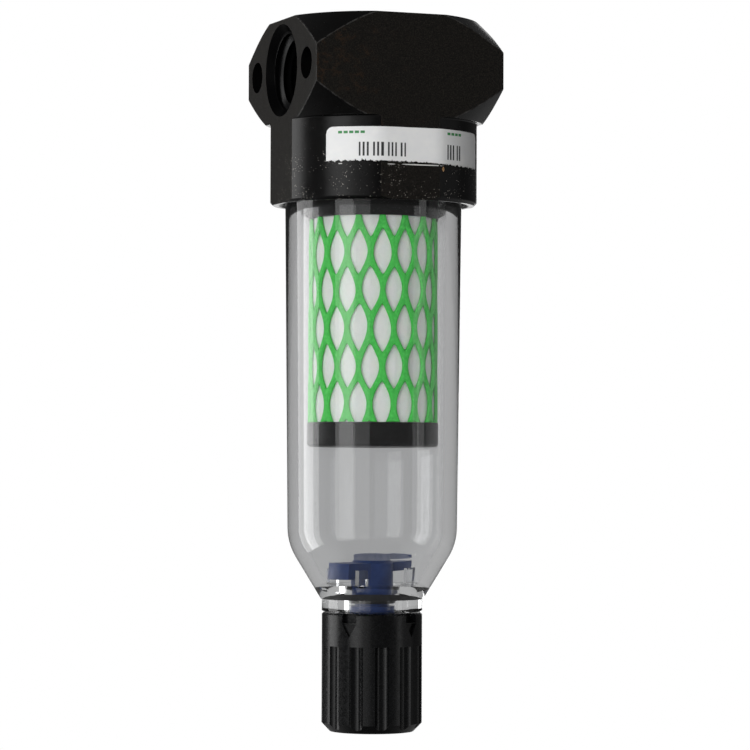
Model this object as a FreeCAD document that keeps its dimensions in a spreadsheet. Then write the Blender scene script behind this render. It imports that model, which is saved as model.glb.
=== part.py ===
import FreeCAD, Part
import Sketcher
import math
import os
import re

# Compressed air filter with a clear bowl: a square head with two pipe ports, a clear screw-on
# bowl, a push-on filter element with a net sleeve, and a twist drain under the bowl.
# The origin is where the port axis (X) crosses the bowl axis (Z). +Z is up; millimetres.

# Driving dimensions, in groups. Radii end in _r and heights above the port axis end in _z.
SIZES = {
    # head: square bar turned to a 45 degree cone above and below, with a round skirt under it
    "head_half": 17.6,
    "head_top_z": 9.0,
    "top_cone_r": 18.65,
    "low_cone_z": -9.0,
    "low_cone_r": 19.4,
    "blank_r": 25.4,
    "skirt_r": 18.41,
    "skirt_end_z": -23.5,
    "skirt_lip": 0.5,
    "edge_round": 0.25,
    # chamber, seal bore and bowl thread inside the head
    "ceiling_z": -10.6,
    "seal_bore_r": 15.75,
    "thread_top_z": -15.6,
    "head_thread_r": 16.5,
    "mouth_r": 17.0,
    # ports: 1/4 in pipe thread, modelled at its major radius
    "port_r": 6.85,
    "port_rim_r": 8.15,
    "port_depth": 11.2,
    "port_cone": 2.4,
    "air_way_r": 3.6,
    "outlet_drop_x": 10.0,
    "outlet_drop_r": 3.1,
    # two through holes beside the ports for tie bolts
    "tie_r": 2.75,
    "tie_half_span": 12.7,
    # label wrapped on the skirt
    "label_top_z": -11.0,
    "label_end_z": -17.4,
    "label_thick": 0.12,
    "label_sweep": 102.0,
    "label_start": -138.0,
    # nipple that holds the element
    "nipple_hole_r": 4.4,
    "nipple_top_z": -4.6,
    "nipple_stub_r": 4.35,
    "nipple_flange_r": 7.0,
    "nipple_flange_z": -12.6,
    "nipple_r": 5.2,
    "nipple_end_z": -22.0,
    "nipple_bore_r": 3.0,
    "nipple_gasket_r": 8.6,
    "nipple_gasket": 0.9,
    # bowl
    "rim_z": -10.8,
    "rim_land_r": 15.45,
    "groove_top_z": -12.3,
    "groove_end_z": -14.3,
    "groove_r": 14.35,
    "bowl_thread_r": 16.3,
    "bowl_thread_top_z": -15.9,
    "bowl_thread_end_z": -22.9,
    "bowl_top_r": 15.74,
    "bowl_low_r": 15.12,
    "shoulder_z": -80.7,
    "shoulder_round": 10.4,
    "cone_angle": 31.3,
    "bowl_wall": 2.4,
    "bore_top_r": 13.25,
    "neck_top_z": -93.4,
    "neck_r": 8.95,
    "neck_end_z": -95.6,
    "floor_z": -90.3,
    "floor_step_r": 5.2,
    "floor_step_z": -93.05,
    "stem_bore_r": 4.3,
    "stem_bore_end_z": -97.0,
    "spigot_bore_r": 3.6,
    "spigot_r": 6.2,
    "snap_r": 6.75,
    "snap_top_z": -102.8,
    "spigot_end_z": -104.2,
    "lug_near": 5.2,
    "lug_far": 6.9,
    "lug_side": 3.0,
    "lug_thick": 1.3,
    "lug_top_z": -87.6,
    # filter element
    "cap_r": 11.67,
    "cap_edge": 0.35,
    "collar_r": 7.7,
    "collar_top_z": -14.9,
    "top_cap_z": -20.4,
    "top_cap_end_z": -25.6,
    "socket_r": 5.45,
    "socket_groove_r": 6.6,
    "socket_groove_top_z": -17.6,
    "socket_groove_end_z": -19.4,
    "cup_r": 11.0,
    "bond": 0.8,
    "element_top_z": -22.4,
    "element_end_z": -64.6,
    "low_cap_z": -62.0,
    "low_cap_end_z": -66.2,
    "core_r": 6.3,
    "core_bore_r": 5.6,
    "media_r": 9.4,
    "support_r": 9.85,
    "drain_layer_r": 10.95,
    "net_bore_r": 11.05,
    "net_r": 11.57,
    "layer_gap": 0.05,
    "hole_r": 1.1,
    "hole_pitch": 4.2,
    # twist drain
    "stem_top_z": -86.0,
    "hub_r": 3.75,
    "hub_edge": 0.5,
    "upper_groove_top_z": -92.6,
    "upper_groove_end_z": -94.6,
    "upper_groove_r": 3.1,
    "upper_land_r": 4.0,
    "upper_land_end_z": -96.2,
    "shaft_r": 2.7,
    "lower_land_r": 3.3,
    "lower_land_top_z": -100.4,
    "lower_groove_top_z": -101.8,
    "lower_groove_end_z": -103.2,
    "lower_groove_r": 2.6,
    "lower_land_end_z": -104.3,
    "screw_r": 3.0,
    "screw_end_z": -110.8,
    "outlet_r": 2.4,
    "outlet_end_z": -115.5,
    "stem_hole_r": 1.4,
    "stem_hole_top_z": -97.6,
    "cross_hole_r": 0.9,
    "cross_hole_z": -98.9,
    "arm_turn": 203.4,
    "arm_reach": 8.3,
    "arm_half_width": 2.5,
    "arm_top_z": -86.4,
    "arm_end_z": -89.2,
    "thin_arm_end_z": -88.0,
    # drain knob
    "knob_r": 8.92,
    "knob_top_z": -95.8,
    "knob_end_z": -116.85,
    "knob_top_edge": 0.3,
    "knob_foot_r": 7.5,
    "knob_foot_z": -115.35,
    "knob_bore_r": 6.4,
    "knob_groove_top_z": -102.6,
    "knob_groove_r": 6.95,
    "knob_web_z": -104.6,
    "knob_hub_r": 3.2,
    "knob_hub_end_z": -110.9,
    "knob_recess_r": 6.0,
    "flute_r": 1.4,
    "flute_centre_r": 9.45,
    "flute_top_z": -101.6,
    "flute_start": 20.4,
    "notch_middle": 260.8,
    "notch_spread": 39.2,
    "notch_half_width": 1.4,
    "notch_depth": 1.6,
    "notch_inner_r": 7.5,
    "ramp_inner_r": 8.35,
    "ramp_depth": 2.6,
    # seal rings: centre-line radius, section radius and height
    "bowl_seal_r": 15.05,
    "bowl_seal_section": 0.62,
    "element_seal_r": 5.9,
    "element_seal_section": 0.62,
    "upper_seal_r": 3.7,
    "upper_seal_section": 0.52,
    "lower_seal_r": 3.1,
    "lower_seal_section": 0.42,
}
FLUTES = 12
HOLE_ROWS = 10
HOLE_TURNS = 6

doc = FreeCAD.newDocument("AirFilter")
sheet = doc.addObject("Spreadsheet::Sheet", "Dims")
for row, (name, value) in enumerate(SIZES.items(), start=1):
    sheet.set(f"A{row}", name)
    sheet.set(f"B{row}", str(value))
    sheet.setAlias(f"B{row}", name)
doc.recompute()

SUB_PARTS = []


def bound(formula):
    """The formula with every size name pointed at the sheet's cell."""
    def point(match):
        word = match.group(0)
        return f"Dims.{word}" if word in SIZES else word
    return re.sub(r"[A-Za-z_]\w*", point, formula)


def number(formula):
    """The formula's present value, for a first guess that the sketch then binds."""
    value = sheet.evalExpression(bound(formula))
    return float(getattr(value, "Value", value))


def origin_plane(body, role):
    for feature in body.Origin.OriginFeatures:
        if feature.Role == role:
            return feature
    raise LookupError(role)


def new_body(label):
    body = doc.addObject("PartDesign::Body", label)
    body.Label = label
    SUB_PARTS.append(body)
    return body


def new_sketch(body, name, role):
    sketch = body.newObject("Sketcher::SketchObject", name)
    sketch.AttachmentSupport = (origin_plane(body, role), [""])
    sketch.MapMode = "FlatFace"
    doc.recompute()
    return sketch


def bind(sketch, kind, *refs, formula):
    """Adds one dimension to a sketch and ties it to the sheet."""
    index = sketch.addConstraint(Sketcher.Constraint(kind, *refs, number(formula)))
    sketch.setExpression(f"Constraints[{index}]", bound(formula))


def outline(sketch, corners):
    """Closed outline through (across, up) corners.

    A corner with a third entry starts an arc of that radius to the next corner, and a
    fourth entry of -1 bows the arc to the right of its direction instead of the left.
    """
    places = [FreeCAD.Vector(number(c[0]), number(c[1]), 0) for c in corners]
    total = len(corners)
    for i, corner in enumerate(corners):
        start, end = places[i], places[(i + 1) % total]
        if len(corner) == 2:
            sketch.addGeometry(Part.LineSegment(start, end), False)
            continue
        half = (end - start) * 0.5
        radius = number(corner[2])
        bow = corner[3]
        left = FreeCAD.Vector(-half.y, half.x, 0).normalize()
        rise = radius - math.sqrt(radius * radius - half.Length ** 2)
        middle = start + half + left * (bow * rise)
        sketch.addGeometry(Part.Arc(start, middle, end), False)
    for i, corner in enumerate(corners):
        if len(corner) > 2:
            bind(sketch, "Radius", i, formula=corner[2])
    for i in range(total):
        # an arc drawn clockwise keeps its ends swapped, so ends are matched by place
        following = (i + 1) % total
        here = end_near(sketch, i, places[following])
        there = end_near(sketch, following, places[following])
        sketch.addConstraint(Sketcher.Constraint("Coincident", i, here, following, there))
        bind(sketch, "DistanceX", -1, 1, following, there, formula=corners[following][0])
        bind(sketch, "DistanceY", -1, 1, following, there, formula=corners[following][1])


def end_near(sketch, index, place):
    gaps = [(sketch.getPoint(index, end).distanceToPoint(place), end) for end in (1, 2)]
    return min(gaps)[1]


def box_outline(left, right, low, high):
    return [(left, low), (right, low), (right, high), (left, high)]


def turn(body, name, corners, kind="Revolution"):
    """Turns an outline in the XZ plane about Z, adding or cutting."""
    sketch = new_sketch(body, f"{name}_outline", "XZ_Plane")
    outline(sketch, corners)
    feature = body.newObject(f"PartDesign::{kind}", name)
    feature.Profile = sketch
    feature.ReferenceAxis = (sketch, ["V_Axis"])
    feature.Angle = 360.0
    doc.recompute()
    return feature


def set_offset(sketch, height, angle="0"):
    """Lifts a horizontal sketch to a height and turns it about Z."""
    sketch.AttachmentOffset.Rotation = FreeCAD.Rotation(FreeCAD.Vector(0, 0, 1), 1)
    sketch.setExpression("AttachmentOffset.Base.z", bound(height))
    sketch.setExpression("AttachmentOffset.Rotation.Angle", bound(angle))
    doc.recompute()


def turn_about_z(item, angle):
    item.Placement.Rotation = FreeCAD.Rotation(FreeCAD.Vector(0, 0, 1), 1)
    item.setExpression("Placement.Rotation.Angle", bound(angle))


def volume_after(body, feature_maker, adds=False):
    """Makes a feature and makes sure that it really cut, or added, material."""
    before = body.Shape.Volume
    feature = feature_maker()
    doc.recompute()
    change = body.Shape.Volume - before
    if (change <= 0) if adds else (change >= 0):
        raise RuntimeError(f"{feature.Name} changed the volume by {change:.3f}")
    return feature


def turned_part(label, corners):
    body = new_body(label)
    turn(body, f"{label}_turned", corners)
    return body


def cut_along(body, sketch, name):
    """A pocket through everything, to both sides of the sketch."""
    def make():
        pocket = body.newObject("PartDesign::Pocket", name)
        pocket.Profile = sketch
        pocket.Type = 1
        pocket.Midplane = True
        return pocket
    return volume_after(body, make)


def circle(sketch, across, up, radius):
    index = sketch.addGeometry(
        Part.Circle(
            FreeCAD.Vector(number(across), number(up), 0),
            FreeCAD.Vector(0, 0, 1),
            number(radius),
        ),
        False,
    )
    bind(sketch, "Radius", index, formula=radius)
    bind(sketch, "DistanceX", -1, 1, index, 3, formula=across)
    bind(sketch, "DistanceY", -1, 1, index, 3, formula=up)
    return index


def ring(label, radius, section, height):
    """A seal ring, round in section, about the Z axis."""
    torus = doc.addObject("Part::Torus", label)
    torus.Label = label
    torus.setExpression("Radius1", bound(radius))
    torus.setExpression("Radius2", bound(section))
    torus.setExpression("Placement.Base.z", bound(height))
    SUB_PARTS.append(torus)
    return torus


def build_head():
    body = new_body("head")
    # blank turned on the bowl axis: cone, corner radius of the bar, cone, ledge, skirt
    turn(body, "head_blank", [
        ("0", "skirt_end_z"),
        ("skirt_r - skirt_lip", "skirt_end_z"),
        ("skirt_r", "skirt_end_z + skirt_lip"),
        ("skirt_r", "low_cone_z"),
        ("low_cone_r", "low_cone_z"),
        ("blank_r", "low_cone_z + blank_r - low_cone_r"),
        ("blank_r", "head_top_z - blank_r + top_cone_r"),
        ("top_cone_r", "head_top_z"),
        ("0", "head_top_z"),
    ])
    # four flats of the square bar, which also graze the skirt
    flats = new_sketch(body, "flats_outline", "XY_Plane")
    add_boxes(flats, [
        ("-2 * blank_r", "2 * blank_r", "-2 * blank_r", "2 * blank_r"),
        ("-head_half", "head_half", "-head_half", "head_half"),
    ])
    cut_along(body, flats, "flats")
    # chamber, seal bore and thread bore from below, and the nipple's hole above them
    volume_after(body, lambda: turn(body, "chamber", [
        ("0", "skirt_end_z - 1"),
        ("mouth_r + 1", "skirt_end_z - 1"),
        ("mouth_r", "skirt_end_z"),
        ("head_thread_r", "skirt_end_z + mouth_r - head_thread_r"),
        ("head_thread_r", "thread_top_z"),
        ("seal_bore_r", "thread_top_z + head_thread_r - seal_bore_r"),
        ("seal_bore_r", "ceiling_z"),
        ("nipple_hole_r", "ceiling_z"),
        ("nipple_hole_r", "nipple_top_z"),
        ("nipple_bore_r", "nipple_top_z"),
        ("nipple_bore_r", "0"),
        ("0", "0"),
    ], kind="Groove"))
    # inlet port at -X with its air way to the middle, then the mirrored outlet port
    inlet = cut_port(body)
    volume_after(body, lambda: mirror_across_yz(body, inlet))
    cross = new_sketch(body, "inlet_way_outline", "YZ_Plane")
    circle(cross, "0", "0", "air_way_r")
    cut_one_way(body, cross, "inlet_way", "head_half - port_depth")
    # the outlet is fed from the chamber's ceiling
    drop = new_sketch(body, "outlet_drop_outline", "XY_Plane")
    circle(drop, "outlet_drop_x", "0", "outlet_drop_r")
    cut_one_way(body, drop, "outlet_drop", "0.5 - ceiling_z")
    # tie bolt holes
    ties = new_sketch(body, "tie_outline", "YZ_Plane")
    circle(ties, "tie_half_span", "0", "tie_r")
    circle(ties, "-tie_half_span", "0", "tie_r")
    cut_along(body, ties, "tie_holes")
    round_edges(body, "edge_rounding", "edge_round", block_edge)
    return body


def block_edge(edge):
    # an edge of the bar's flats above the skirt's end, and not the rim of a port or a tie hole
    box = edge.BoundBox
    reach = max(-box.XMin, box.XMax, -box.YMin, box.YMax)
    across_hole = isinstance(edge.Curve, Part.Circle) and abs(edge.Curve.Axis.z) < 0.5
    above_skirt_end = box.ZMin > number("skirt_end_z + skirt_lip - edge_round")
    return reach > number("head_half - edge_round") and above_skirt_end and not across_hole


def round_edges(body, name, radius, wanted):
    base = body.Tip
    picked = [f"Edge{index}" for index, edge in enumerate(base.Shape.Edges, 1) if wanted(edge)]

    def make():
        fillet = body.newObject("PartDesign::Fillet", name)
        fillet.Base = (base, picked)
        fillet.setExpression("Radius", bound(radius))
        return fillet
    return volume_after(body, make)


def cut_port(body):
    sketch = new_sketch(body, "port_outline", "XZ_Plane")
    outline(sketch, [
        ("-head_half - 1", "0"),
        ("-head_half - 1", "port_rim_r + 1"),
        ("-head_half", "port_rim_r"),
        ("-head_half + port_rim_r - port_r", "port_r"),
        ("-head_half + port_depth - port_cone", "port_r"),
        ("-head_half + port_depth", "air_way_r"),
        ("-head_half + port_depth", "0"),
    ])

    def make():
        groove = body.newObject("PartDesign::Groove", "inlet_port")
        groove.Profile = sketch
        groove.ReferenceAxis = (sketch, ["H_Axis"])
        groove.Angle = 360.0
        return groove
    return volume_after(body, make)


def mirror_across_yz(body, feature):
    mirrored = body.newObject("PartDesign::Mirrored", "outlet_port")
    mirrored.Originals = [feature]
    mirrored.MirrorPlane = (origin_plane(body, "YZ_Plane"), [""])
    body.Tip = mirrored
    return mirrored


def cut_one_way(body, sketch, name, length, reversed_way=False):
    def make():
        pocket = body.newObject("PartDesign::Pocket", name)
        pocket.Profile = sketch
        pocket.Type = 0
        pocket.setExpression("Length", bound(length))
        pocket.Reversed = reversed_way
        return pocket
    return volume_after(body, make)


def build_label():
    """A sticker of even thickness: it follows the skirt and its front flat."""
    outer = sector("label_outer", "skirt_r + label_thick")
    front = slab("label_front", "head_half + label_thick")
    inner = sector("label_inner", "skirt_r")
    flat = slab("label_flat", "head_half")
    label = doc.addObject("Part::Cut", "name_label")
    label.Base = common("label_outside", outer, front)
    label.Tool = common("label_inside", inner, flat)
    label.Label = "name_label"
    SUB_PARTS.append(label)


def sector(name, radius):
    """A slice of a cylinder over the label's sweep."""
    piece = doc.addObject("Part::Cylinder", name)
    piece.setExpression("Radius", bound(radius))
    piece.setExpression("Height", bound("label_top_z - label_end_z"))
    piece.setExpression("Angle", bound("label_sweep"))
    piece.setExpression("Placement.Base.z", bound("label_end_z"))
    turn_about_z(piece, "label_start")
    return piece


def slab(name, reach):
    """A block whose -Y face stands at this distance from the axis."""
    block = doc.addObject("Part::Box", name)
    block.setExpression("Length", bound("4 * skirt_r"))
    block.setExpression("Width", bound(f"2 * skirt_r + {reach}"))
    block.setExpression("Height", bound("label_top_z - label_end_z"))
    block.setExpression("Placement.Base.x", bound("-2 * skirt_r"))
    block.setExpression("Placement.Base.y", bound(f"-({reach})"))
    block.setExpression("Placement.Base.z", bound("label_end_z"))
    return block


def common(name, first, second):
    shared = doc.addObject("Part::Common", name)
    shared.Base = first
    shared.Tool = second
    return shared


def build_nipple():
    turned_part("element_nipple", [
        ("nipple_bore_r", "nipple_end_z"),
        ("nipple_r - 0.4", "nipple_end_z"),
        ("nipple_r", "nipple_end_z + 0.8"),
        ("nipple_r", "nipple_flange_z"),
        ("nipple_flange_r", "nipple_flange_z"),
        ("nipple_flange_r", "ceiling_z - nipple_gasket"),
        ("nipple_stub_r", "ceiling_z - nipple_gasket"),
        ("nipple_stub_r", "nipple_top_z"),
        ("nipple_bore_r", "nipple_top_z"),
    ])
    turned_part("nipple_gasket", box_outline(
        "nipple_hole_r", "nipple_gasket_r", "ceiling_z - nipple_gasket", "ceiling_z"))


def build_bowl():
    """Clear bowl: rim with its seal groove, thread band, drafted wall, shoulder, cone,
    neck, and the spigot that carries the drain knob."""
    body = new_body("bowl")
    slope = "tan(cone_angle * 1deg)"
    # the shoulder arc is tangent to a plumb line here and to the cone at its lower end
    outer_end_r = "bowl_low_r - shoulder_round * (1 - cos(cone_angle * 1deg))"
    outer_end_z = "shoulder_z - shoulder_round * sin(cone_angle * 1deg)"
    inner_round = "shoulder_round - bowl_wall"
    inner_end_r = f"bowl_low_r - bowl_wall - ({inner_round}) * (1 - cos(cone_angle * 1deg))"
    inner_end_z = f"shoulder_z - ({inner_round}) * sin(cone_angle * 1deg)"
    turn(body, "bowl_turned", [
        ("bore_top_r", "rim_z"),
        ("bowl_low_r - bowl_wall", "shoulder_z", inner_round, 1),
        (inner_end_r, inner_end_z),
        (f"{inner_end_r} - ({inner_end_z} - floor_z) * {slope}", "floor_z"),
        ("floor_step_r", "floor_z"),
        ("floor_step_r", "floor_step_z"),
        ("stem_bore_r", "floor_step_z"),
        ("stem_bore_r", "stem_bore_end_z"),
        ("spigot_bore_r", "stem_bore_end_z"),
        ("spigot_bore_r", "spigot_end_z"),
        ("snap_r - 0.5", "spigot_end_z"),
        ("snap_r", "snap_top_z - 0.3"),
        ("snap_r", "snap_top_z"),
        ("spigot_r", "snap_top_z"),
        ("spigot_r", "neck_end_z"),
        ("neck_r", "neck_end_z"),
        ("neck_r", "neck_top_z"),
        (f"{outer_end_r} - ({outer_end_z} - neck_top_z) * {slope}", "neck_top_z"),
        (outer_end_r, outer_end_z, "shoulder_round", -1),
        ("bowl_low_r", "shoulder_z"),
        ("bowl_top_r", "bowl_thread_end_z"),
        ("bowl_thread_r", "bowl_thread_end_z + bowl_thread_r - bowl_top_r"),
        ("bowl_thread_r", "bowl_thread_top_z"),
        ("rim_land_r", "bowl_thread_top_z + bowl_thread_r - rim_land_r"),
        ("rim_land_r", "groove_end_z"),
        ("groove_r", "groove_end_z"),
        ("groove_r", "groove_top_z"),
        ("rim_land_r", "groove_top_z"),
        ("rim_land_r", "rim_z - 0.4"),
        ("rim_land_r - 0.4", "rim_z"),
    ])
    # four lugs on the floor stand beside the stem's arms and stop it turning
    lugs = new_sketch(body, "lug_outline", "XY_Plane")
    set_offset(lugs, "floor_z - 0.3", "arm_turn")
    add_boxes(lugs, [
        (f"{x_sign} * lug_near", f"{x_sign} * lug_far",
         f"{y_sign} * lug_side", f"{y_sign} * (lug_side + lug_thick)")
        for x_sign in (1, -1) for y_sign in (1, -1)
    ])
    pad(body, lugs, "lugs", "lug_top_z - floor_z + 0.3")
    return body


def add_boxes(sketch, boxes):
    for near, far, side, outside in boxes:
        first = sketch.GeometryCount
        corners = box_outline(near, far, side, outside)
        places = [FreeCAD.Vector(number(c[0]), number(c[1]), 0) for c in corners]
        for i in range(4):
            sketch.addGeometry(Part.LineSegment(places[i], places[(i + 1) % 4]), False)
        for i in range(4):
            here, after = first + i, first + (i + 1) % 4
            sketch.addConstraint(Sketcher.Constraint("Coincident", here, 2, after, 1))
            bind(sketch, "DistanceX", -1, 1, here, 1, formula=corners[i][0])
            bind(sketch, "DistanceY", -1, 1, here, 1, formula=corners[i][1])


def pad(body, sketch, name, length):
    def make():
        feature = body.newObject("PartDesign::Pad", name)
        feature.Profile = sketch
        feature.setExpression("Length", bound(length))
        return feature
    return volume_after(body, make, adds=True)


def build_element():
    turned_part("element_top_cap", [
        ("socket_r", "element_top_z"),
        ("cup_r", "element_top_z"),
        ("cup_r", "top_cap_end_z"),
        ("cap_r", "top_cap_end_z"),
        ("cap_r", "top_cap_z - cap_edge"),
        ("cap_r - cap_edge", "top_cap_z"),
        ("collar_r", "top_cap_z"),
        ("collar_r", "collar_top_z - cap_edge"),
        ("collar_r - cap_edge", "collar_top_z"),
        ("socket_r + 0.5", "collar_top_z"),
        ("socket_r", "collar_top_z - 0.8"),
        ("socket_r", "socket_groove_top_z"),
        ("socket_groove_r", "socket_groove_top_z"),
        ("socket_groove_r", "socket_groove_end_z"),
        ("socket_r", "socket_groove_end_z"),
    ])
    turned_part("element_bottom_cap", [
        ("0", "low_cap_end_z"),
        ("cap_r - cap_edge", "low_cap_end_z"),
        ("cap_r", "low_cap_end_z + cap_edge"),
        ("cap_r", "low_cap_z"),
        ("cup_r", "low_cap_z"),
        ("cup_r", "element_end_z"),
        ("0", "element_end_z"),
    ])
    turned_part("top_bond", box_outline(
        "core_bore_r", "cup_r - layer_gap", "element_top_z - bond", "element_top_z"))
    turned_part("bottom_bond", box_outline(
        "core_bore_r", "cup_r - layer_gap", "element_end_z", "element_end_z + bond"))
    layer_top, layer_end = "element_top_z - bond", "element_end_z + bond"
    core = turned_part("core_tube", box_outline(
        "core_bore_r", "core_r", layer_end, layer_top))
    perforate(core, "core")
    turned_part("filter_media", box_outline(
        "core_r + layer_gap", "media_r", layer_end, layer_top))
    support = turned_part("outer_support", box_outline(
        "media_r + layer_gap", "support_r", layer_end, layer_top))
    perforate(support, "support")
    turned_part("drain_layer", box_outline(
        "support_r + layer_gap", "drain_layer_r", layer_end, layer_top))
    turned_part("net_sleeve", box_outline(
        "net_bore_r", "net_r", "low_cap_z + layer_gap", "top_cap_end_z - layer_gap"))


def perforate(body, name):
    """A column of holes straight through a tube, repeated around it."""
    sketch = new_sketch(body, f"{name}_holes_outline", "XZ_Plane")
    middle = "(element_top_z + element_end_z) / 2"
    for row in range(HOLE_ROWS):
        circle(sketch, "0", f"{middle} + ({row} - {(HOLE_ROWS - 1) / 2}) * hole_pitch", "hole_r")
    holes = cut_along(body, sketch, f"{name}_holes")
    spin_half(body, holes, HOLE_TURNS, f"{name}_holes_around")


def spin_half(body, feature, count, name):
    """Repeats a cut that goes through both walls, over half a turn."""
    def make():
        pattern = body.newObject("PartDesign::PolarPattern", name)
        pattern.Originals = [feature]
        pattern.Axis = (feature.Profile[0], ["V_Axis"])
        pattern.Angle = 180.0 * (count - 1) / count
        pattern.Occurrences = count
        body.Tip = pattern
        return pattern
    return volume_after(body, make)


def build_stem():
    body = turned_part("drain_stem", [
        ("stem_hole_r", "outlet_end_z"),
        ("outlet_r", "outlet_end_z"),
        ("outlet_r", "screw_end_z"),
        ("screw_r", "screw_end_z"),
        ("screw_r", "lower_land_end_z"),
        ("lower_land_r", "lower_land_end_z"),
        ("lower_land_r", "lower_groove_end_z"),
        ("lower_groove_r", "lower_groove_end_z"),
        ("lower_groove_r", "lower_groove_top_z"),
        ("lower_land_r", "lower_groove_top_z"),
        ("lower_land_r", "lower_land_top_z"),
        ("shaft_r", "lower_land_top_z"),
        ("shaft_r", "upper_land_end_z"),
        ("upper_land_r", "upper_land_end_z"),
        ("upper_land_r", "upper_groove_end_z"),
        ("upper_groove_r", "upper_groove_end_z"),
        ("upper_groove_r", "upper_groove_top_z"),
        ("hub_r", "upper_groove_top_z"),
        ("hub_r", "stem_top_z - hub_edge"),
        ("hub_r - hub_edge", "stem_top_z"),
        ("0", "stem_top_z"),
        ("0", "stem_hole_top_z"),
        ("stem_hole_r", "stem_hole_top_z"),
    ])
    # a deep arm and a thinner one opposite, with ends rounded about the stem's axis
    for name, sign, underside in (("arm", 1, "arm_end_z"), ("thin_arm", -1, "thin_arm_end_z")):
        arm = new_sketch(body, f"{name}_outline", "XY_Plane")
        set_offset(arm, underside)
        tip = f"{sign} * sqrt(arm_reach ^ 2 - arm_half_width ^ 2)"
        outline(arm, [
            ("0", "arm_half_width"),
            ("0", "-arm_half_width"),
            (tip, "-arm_half_width", "arm_reach", -sign),
            (tip, "arm_half_width"),
        ])
        pad(body, arm, name, f"arm_top_z - {underside}")
    cross = new_sketch(body, "cross_hole_outline", "XZ_Plane")
    circle(cross, "0", "cross_hole_z", "cross_hole_r")
    cut_along(body, cross, "cross_hole")
    turn_about_z(body, "arm_turn")
    return body


def build_knob():
    body = turned_part("drain_knob", [
        ("knob_hub_r", "knob_hub_end_z"),
        ("knob_recess_r", "knob_hub_end_z"),
        ("knob_recess_r", "knob_end_z"),
        ("knob_foot_r", "knob_end_z"),
        ("knob_r", "knob_foot_z"),
        ("knob_r", "knob_top_z - knob_top_edge"),
        ("knob_r - knob_top_edge", "knob_top_z"),
        ("knob_bore_r", "knob_top_z"),
        ("knob_bore_r", "knob_groove_top_z"),
        ("knob_groove_r", "knob_groove_top_z"),
        ("knob_groove_r", "knob_web_z"),
        ("knob_hub_r", "knob_web_z"),
    ])
    # grip flutes run from the smooth band out through the foot
    flute = new_sketch(body, "flute_outline", "XY_Plane")
    set_offset(flute, "flute_top_z", "flute_start")
    circle(flute, "flute_centre_r", "0", "flute_r")
    flute_cut = cut_one_way(body, flute, "flute", "flute_top_z - knob_end_z + 1")
    around_z(body, flute_cut, FLUTES, "flutes")
    # square notches in the top rim, each with a shallow V-shaped ramp under it
    for side in (0, 180):
        for sign in (1, -1):
            angle = f"notch_middle + {side} + {sign} * notch_spread"
            tag = f"{'low' if sign < 0 else 'high'}_{side}"
            radial_cut(body, f"notch_{tag}", angle, "notch_inner_r", [
                ("-notch_half_width", "knob_top_z - notch_depth"),
                ("notch_half_width", "knob_top_z - notch_depth"),
                ("notch_half_width", "knob_top_z + 1"),
                ("-notch_half_width", "knob_top_z + 1"),
            ])
            radial_cut(body, f"ramp_{tag}", angle, "ramp_inner_r", [
                ("-notch_half_width", "knob_top_z - notch_depth - 0.15"),
                ("0", "knob_top_z - notch_depth - ramp_depth"),
                ("notch_half_width", "knob_top_z - notch_depth - 0.15"),
            ])
    return body


def radial_cut(body, name, angle, inner_radius, corners):
    """Cuts an outline of (sideways, up) corners outwards from this radius at this angle."""
    sketch = new_sketch(body, f"{name}_outline", "YZ_Plane")
    turned = f"(({angle}) * 1deg)"
    sketch.AttachmentOffset.Rotation = FreeCAD.Rotation(FreeCAD.Vector(0, 1, 0), 1)
    sketch.setExpression("AttachmentOffset.Rotation.Angle", bound(angle))
    sketch.setExpression("AttachmentOffset.Base.x", bound(f"{inner_radius} * sin{turned}"))
    sketch.setExpression("AttachmentOffset.Base.z", bound(f"{inner_radius} * cos{turned}"))
    doc.recompute()
    outline(sketch, corners)
    cut_one_way(body, sketch, name, "knob_r - notch_inner_r + 1", reversed_way=True)


def around_z(body, feature, count, name):
    def make():
        pattern = body.newObject("PartDesign::PolarPattern", name)
        pattern.Originals = [feature]
        pattern.Axis = (origin_plane(body, "Z_Axis"), [""])
        pattern.Angle = 360.0
        pattern.Occurrences = count
        body.Tip = pattern
        return pattern
    return volume_after(body, make)


def build_seals():
    ring("bowl_seal", "bowl_seal_r", "bowl_seal_section", "(groove_top_z + groove_end_z) / 2")
    ring("element_seal", "element_seal_r", "element_seal_section",
         "(socket_groove_top_z + socket_groove_end_z) / 2")
    ring("stem_upper_seal", "upper_seal_r", "upper_seal_section",
         "(upper_groove_top_z + upper_groove_end_z) / 2")
    ring("stem_lower_seal", "lower_seal_r", "lower_seal_section",
         "(lower_groove_top_z + lower_groove_end_z) / 2")


def check_and_export():
    doc.recompute()
    for item in doc.Objects:
        if {"Invalid", "Error"} & set(item.State):
            raise RuntimeError(f"{item.Name} failed: {item.State}")
    os.makedirs("parts", exist_ok=True)
    for item in SUB_PARTS:
        shape = item.Shape
        if shape.isNull() or not shape.isValid():
            raise RuntimeError(f"{item.Label} has no valid shape")
        shape.exportStep(f"parts/{item.Label}.step")
        box = shape.BoundBox
        print(f"{item.Label:20s} {shape.Volume:10.1f} mm3  z {box.ZMin:8.2f} {box.ZMax:8.2f}")


build_head()
build_label()
build_nipple()
build_bowl()
build_element()
build_stem()
build_knob()
build_seals()
check_and_export()
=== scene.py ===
import math

import bmesh
import bpy
from mathutils import Matrix, Vector, noise


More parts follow.
